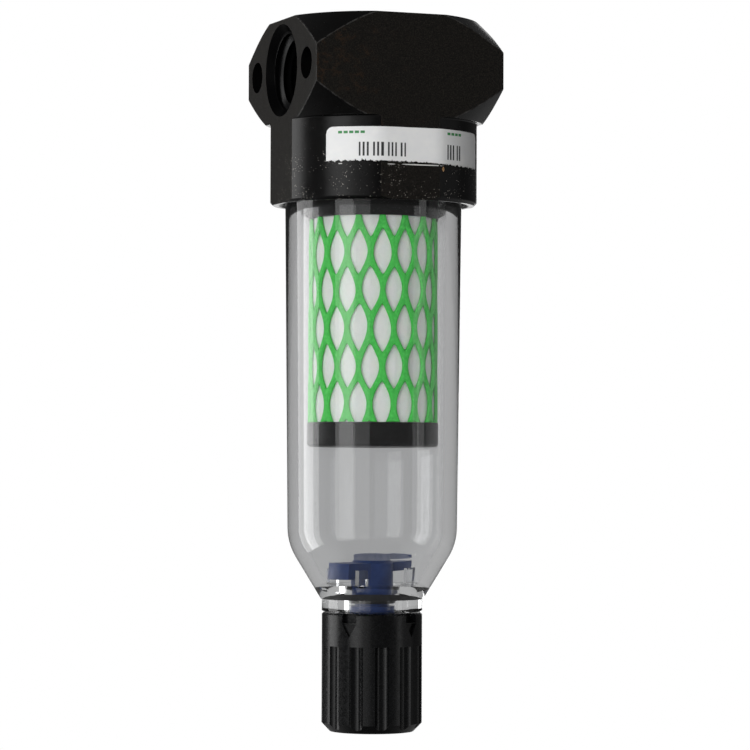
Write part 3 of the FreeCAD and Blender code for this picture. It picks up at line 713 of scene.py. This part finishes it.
def add_label():
    low, high = label_span()
    left, right = LABEL_LEFT, LABEL_RIGHT

    def corner(azimuth):
        # how far the rounded upper corners fall below the label's top
        run = math.radians(min(azimuth - left, right - azimuth)) * SKIRT_R
        short = max(0.0, LABEL_ROUND - run)
        return LABEL_ROUND - math.sqrt(max(0.0, LABEL_ROUND ** 2 - short ** 2))

    def top(azimuth):
        return high - corner(azimuth)

    def torn(azimuth):
        rag = noise.noise((azimuth * 0.5, 3.0, 0)) * 0.26
        rag += noise.noise((azimuth * 1.9, 8.0, 0)) * 0.24
        nick = max(0.0, noise.noise((azimuth * 1.1, 21.0, 0)) - 0.25) * 1.1
        dip = 0.30 * smooth_step((azimuth + 100) / 50)
        return low + 0.48 - dip + rag + nick
    label = mesh_object("label_sheet", *patch(left, right, torn, top, 0.01, LABEL_LIFT, 0.12))
    label.data.materials.append(label_paint())
    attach(label, "head")
    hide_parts("name_label")


def join_patches(name, patches):
    points, faces = [], []
    for some_points, some_faces in patches:
        start = len(points)
        points += some_points
        faces += [tuple(start + i for i in face) for face in some_faces]
    return mesh_object(name, points, faces, smooth=False)


def printed(left, right, low, high):
    return patch(left, right, lambda a: low, lambda a: high, LABEL_LIFT, LABEL_LIFT + INK_DEEP)


def rules(left, right, low, high):
    """Plain printed bars that fill a field of the label."""
    made = []
    start = left
    while start + RULE_WIDE <= right + 0.01:
        made.append(printed(start, start + RULE_WIDE, low, high))
        start += RULE_WIDE + RULE_GAP
    return made


def strokes(left, right, low, high):
    """Upright strokes of uneven width, in groups, that stand in for a line of print."""
    made = []
    start = left
    count = 0
    while start < right - 1.0:
        wide = 0.9 + 0.9 * abs(noise.noise((count * 3.7, 5.0, 0)))
        made.append(printed(start, start + wide, low, high))
        count += 1
        start += wide + (2.3 if count % 3 == 0 else 1.15)
    return made


def add_print():
    """Small green rules that head the label's two fields, and upright strokes that fill them."""
    for name, fill, fields, ink in (
            ("label_rules", rules, GREEN_FIELDS, ink_paint("ink_green", (0.03, 0.24, 0.06))),
            ("label_strokes", strokes, STROKE_FIELDS, ink_paint("ink_dark", (0.02, 0.02, 0.022)))):
        piece = join_patches(name, [mark for field in fields for mark in fill(*field)])
        piece.data.materials.append(ink)
        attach(piece, "head")


def add_label_scraps():
    """Slivers of the label's torn strip that stay stuck below it."""
    low, high = label_span()

    def sliver(left, right, middle, tall):
        def half(azimuth):
            way = (azimuth - left) / (right - left)
            rag = noise.noise((azimuth * 1.3, 14.0, 0)) * 0.3
            return tall / 2 * (max(0.0, 1 - (2 * way - 1) ** 4) + 0.12) * (1 + rag)
        return patch(left, right, lambda a: middle - half(a), lambda a: middle + half(a),
                     0.01, 0.06, 0.12)
    white = join_patches("label_slivers", [sliver(-95.5, -70.5, low - 0.05, 0.17),
                                           sliver(-104.0, -99.5, low - 0.08, 0.12),
                                           sliver(-131.0, -128.5, low - 0.02, 0.13)])
    white.data.materials.append(ink_paint("scrap_vinyl", (0.62, 0.62, 0.60)))
    fleck = join_patches("label_fleck", [sliver(-71.0, -69.6, low - 0.62, 0.75)])
    fleck.data.materials.append(ink_paint("scrap_brown", (0.36, 0.20, 0.08)))
    for piece in (white, fleck):
        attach(piece, "head")


# ---------------------------------------------------------------- port threads

def thread_ridge(start, end, steps=72):
    """A helical ridge along +X that stands inward from the bore and runs out to a point at
    each end."""
    turns = (end - start) / THREAD_PITCH
    count = int(turns * steps) + 1
    wall = PORT_R + 0.05
    points = []
    for i in range(count):
        along = start + (end - start) * i / (count - 1)
        angle = 360 * turns * i / (count - 1)
        fade = min(smooth_step(i / (steps * 0.8)), smooth_step((count - 1 - i) / (steps * 0.4)))
        fade = max(fade, 0.02)
        crest = PORT_R - THREAD_DEEP * fade
        for radius, half in ((wall, THREAD_ROOT / 2), (crest, THREAD_CREST / 2),
                             (crest, -THREAD_CREST / 2), (wall, -THREAD_ROOT / 2)):
            across, up = polar(radius, angle)
            points.append((along + half * fade, across, up))
    return points, tube_faces(count, 4)


def add_port_threads(material):
    start, end = -HEAD_HALF + 1.15, -HEAD_HALF + PORT_DEEP - 0.3
    points, faces = thread_ridge(start, end)
    for name, side in (("inlet_thread", 1), ("outlet_thread", -1)):
        placed = [(side * x, side * y, z) for x, y, z in points]
        thread = mesh_object(name, placed, faces, smooth=False)
        face_outward(thread)
        thread.data.materials.append(material)
        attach(thread, "head")


# ---------------------------------------------------------------- bowl

def bowl_profile():
    """Outline of half the bowl, as (radius, height) from the rim's inside round to its outside."""
    slope = math.tan(math.radians(BOWL_CONE))
    inner = shoulder(BOWL_LOW_R - BOWL_WALL, BOWL_ROUND - BOWL_WALL)
    outer = shoulder(BOWL_LOW_R, BOWL_ROUND)
    inner_end, outer_end = inner[-1], outer[-1]
    crest = THREAD_R - CREST_INSET
    lip_top_z = SPIGOT_LIP_Z + SPIGOT_LIP_TALL
    return [
        (RIM_BORE_R, RIM_Z), *inner,
        (inner_end[0] - (inner_end[1] - FLOOR_IN_Z) * slope, FLOOR_IN_Z),
        (SEAT_R, FLOOR_IN_Z), (SEAT_R, GROOVE_TOP_Z), (GROOVE_R, GROOVE_TOP_Z), (GROOVE_R, SEAT_Z),
        (STEM_BORE_R, SEAT_Z), (STEM_BORE_R, TAIL_BORE_Z), (TAIL_BORE_R, TAIL_BORE_Z),
        (TAIL_BORE_R, SPIGOT_END_Z), (SPIGOT_END_R, SPIGOT_END_Z), (SPIGOT_LIP_R, SPIGOT_LIP_Z),
        (SPIGOT_LIP_R, lip_top_z), (SPIGOT_R, lip_top_z), (SPIGOT_R, NECK_END_Z),
        (NECK_R - NECK_EDGE, NECK_END_Z), (NECK_R, NECK_END_Z + NECK_EDGE), (NECK_R, NECK_TOP_Z),
        (outer_end[0] - (outer_end[1] - NECK_TOP_Z) * slope, NECK_TOP_Z), *reversed(outer),
        (BOWL_TOP_R, THREAD_LOW_Z - 0.6), (crest, THREAD_LOW_Z - 0.1),
        *[(crest, THREAD_LOW_Z + 0.25 * i) for i in range(1, 24)],
        (crest, THREAD_HIGH_Z + 0.1), (RIM_R, RIM_FOOT_Z), (RIM_R, SEAL_GROOVE_END_Z),
        (SEAL_GROOVE_R, SEAL_GROOVE_END_Z), (SEAL_GROOVE_R, SEAL_GROOVE_TOP_Z),
        (RIM_R, SEAL_GROOVE_TOP_Z), (RIM_R, RIM_Z - RIM_EDGE), (RIM_R - RIM_EDGE, RIM_Z),
    ]


def shoulder(radius, round_radius, steps=24):
    """Points down an arc from a plumb wall of that radius to the cone."""
    points = []
    for i in range(steps + 1):
        angle = math.radians(BOWL_CONE) * i / steps
        points.append((radius - round_radius * (1 - math.cos(angle)),
                       SHOULDER_Z - round_radius * math.sin(angle)))
    return points


def thread_drop(radius, height, azimuth):
    """How far the bowl's outside falls below its thread's crest."""
    if radius < THREAD_R - 0.5 or not THREAD_LOW_Z < height < THREAD_HIGH_Z:
        return 0.0
    turn = ((height - azimuth / 360 * BOWL_PITCH) / BOWL_PITCH) % 1.0
    fade = min(smooth_step((height - THREAD_LOW_Z) / 0.6), smooth_step((THREAD_HIGH_Z - height) / 0.6))
    return THREAD_CUT * fade * smooth_step(min(1.0, 4 * abs(turn - 0.5) - 0.4))


def revolve(profile, segments):
    """A closed ring of revolution about Z from a closed outline, with the thread cut in it."""
    points = []
    for i in range(segments):
        azimuth = 360 * i / segments
        for radius, z in profile:
            points.append((*polar(radius - thread_drop(radius, z, azimuth), azimuth), z))
    count = len(profile)
    faces = []
    for i in range(segments):
        here, there = i * count, (i + 1) % segments * count
        for k in range(count):
            following = (k + 1) % count
            faces.append((here + k, there + k, there + following, here + following))
    return points, faces


def add_bowl():
    bowl = mesh_object("bowl_clear", *revolve(bowl_profile(), 192))
    face_outward(bowl)
    lugs = mesh_object("lugs", *lug_boxes())
    face_outward(lugs)
    join_solid(bowl, lugs)
    mark_creases(bowl, 24)
    bowl.data.materials.clear()
    bowl.data.materials.append(bowl_paint())
    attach(bowl, "bowl")
    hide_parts("bowl")


def add_lip_ring():
    """Black lip ring bonded in a groove of the bowl's drain seat."""
    # it is bonded in, so it stands this far into the clear wall
    bond = 0.02
    wall_r, top, foot = GROOVE_R + bond, GROOVE_TOP_Z + bond, SEAT_Z - bond
    outline = [(wall_r, foot), (wall_r, top), (5.1, top), (5.0, -91.45), (4.75, -91.5),
               (4.55, -91.8), (4.5, -92.1), (4.62, -92.5), (4.5, -92.9), (4.6, foot)]
    ring = mesh_object("lip_ring", *revolve(outline, 120))
    face_outward(ring)
    mark_creases(ring, 35)
    ring.data.materials.append(rubber_paint("lip_rubber"))
    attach(ring, "bowl")


def lug_boxes():
    """Four lugs on the floor, beside the stem's two arms."""
    points, faces = [], []
    turn = Matrix.Rotation(math.radians(ARM_TURN), 3, "Z")
    for x_sign in (1, -1):
        for y_sign in (1, -1):
            first = len(points)
            for z in (FLOOR_IN_Z - LUG_SUNK, LUG_TOP_Z):
                for x, y in ((LUG_NEAR, LUG_SIDE), (LUG_FAR, LUG_SIDE),
                             (LUG_FAR, LUG_EDGE), (LUG_NEAR, LUG_EDGE)):
                    points.append(turn @ Vector((x_sign * x, y_sign * y, z)))
            faces += tube_faces(2, 4, first)
    return points, faces


def join_solid(piece, other):
    """Adds the other closed mesh to the piece, as one solid."""
    join = piece.modifiers.new("join", "BOOLEAN")
    join.operation = "UNION"
    join.solver = "EXACT"
    join.object = other
    apply_modifiers(piece)
    bpy.data.objects.remove(other)


def apply_modifiers(piece):
    graph = bpy.context.evaluated_depsgraph_get()
    mesh = bpy.data.meshes.new_from_object(piece.evaluated_get(graph))
    piece.modifiers.clear()
    piece.data = mesh


def mark_creases(piece, angle):
    """Smooth shading that breaks at edges sharper than the angle."""
    mesh = piece.data
    mesh.polygons.foreach_set("use_smooth", [True] * len(mesh.polygons))
    mesh.set_sharp_from_angle(angle=math.radians(angle))


# ---------------------------------------------------------------- net

def opening(away):
    """Half the width of a leaf-shaped opening at a height from its middle."""
    if abs(away) >= NET_OPEN_TALL:
        return 0.0
    return NET_OPEN_WIDE * math.cos(math.pi / 2 * away / NET_OPEN_TALL) ** 1.2


def strand_span(strand, height, middle_r):
    """The azimuths of a strand's two edges at a height. It joins its neighbours by turns, and
    openings of the rows above and below cut into it from either side."""
    row = (NET_ROW_Z - height) / NET_ROW_STEP
    above = math.floor(row)
    down = (row - above) * NET_ROW_STEP
    up = NET_ROW_STEP - down
    column = 360 / NET_COLUMNS
    left = NET_FIRST_COLUMN + strand * column
    right = left + column
    if (strand + above) % 2:
        down, up = up, down
    lower, upper = opening(up), opening(down)
    lower -= NET_LAP * (1 - min(1.0, lower / NET_LAP))
    upper -= NET_LAP * (1 - min(1.0, upper / NET_LAP))
    return left + math.degrees(lower / middle_r), right - math.degrees(upper / middle_r)


def strand_ring(strand, height, middle, thick, around):
    """One rounded, flattened section of a strand."""
    slip = Vector((*polar(1.6, NET_FIRST_COLUMN + strand * 360 / NET_COLUMNS), height / 8))
    shifted = height + NET_SLIP * noise.noise(slip)
    left, right = strand_span(strand, shifted, middle)
    bend = NET_BEND * noise.noise(slip + Vector((7, 3, 0)))
    ring = []
    for k in range(around):
        turn = 2 * math.pi * k / around
        across = math.copysign(abs(math.cos(turn)) ** 0.7, math.cos(turn))
        out = thick * math.copysign(abs(math.sin(turn)) ** 0.6, math.sin(turn))
        place = (left + right) / 2 + (right - left) / 2 * across + bend
        ring.append((*polar(middle + out, place), height))
    return ring


def add_net():
    low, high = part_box("net_sleeve")
    outer = high.x / MM
    low, high = low.z / MM, high.z / MM
    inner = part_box("drain_layer")[1].x / MM + 0.03
    middle = (inner + outer) / 2
    thick = (outer - inner) / 2
    rings, around = 170, 12
    points, faces = [], []
    for strand in range(NET_COLUMNS):
        first = len(points)
        for i in range(rings):
            height = low + (high - low) * i / (rings - 1)
            points += strand_ring(strand, height, middle, thick, around)
        faces += tube_faces(rings, around, first)
    net = mesh_object("net", points, faces)
    face_outward(net)
    net.data.materials.append(net_paint())
    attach(net, "element")
    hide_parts("net_sleeve")


# ---------------------------------------------------------------- making

def main():
    bpy.context.scene.view_settings.view_transform = "Standard"
    add_camera()
    add_world()
    add_lights()
    add_floor()
    head = head_paint()
    finish("head", head)
    add_port_threads(head)
    add_label()
    add_print()
    add_label_scraps()
    black = plastic_paint("cap_plastic", (0.0065, 0.0065, 0.0065), 0.46, 0.28, 0.15)
    for node in ("element_top_cap", "element_bottom_cap", "element_nipple"):
        finish(node, black)
    knob = plastic_paint("knob_plastic", (0.0030, 0.0031, 0.0034), 0.26, 0.42, 0.10)
    finish("drain_knob", knob)
    rubber = rubber_paint("seal_rubber")
    for node in ("nipple_gasket", "bowl_seal", "element_seal", "stem_upper_seal", "stem_lower_seal"):
        finish(node, rubber)
    add_bowl()
    add_lip_ring()
    resin = resin_paint()
    finish("top_bond", resin)
    finish("bottom_bond", resin)
    steel = steel_paint()
    finish("core_tube", steel)
    finish("outer_support", steel)
    finish("filter_media", media_paint())
    finish("drain_layer", felt_paint())
    finish("drain_stem", stem_paint())
    add_net()


main()
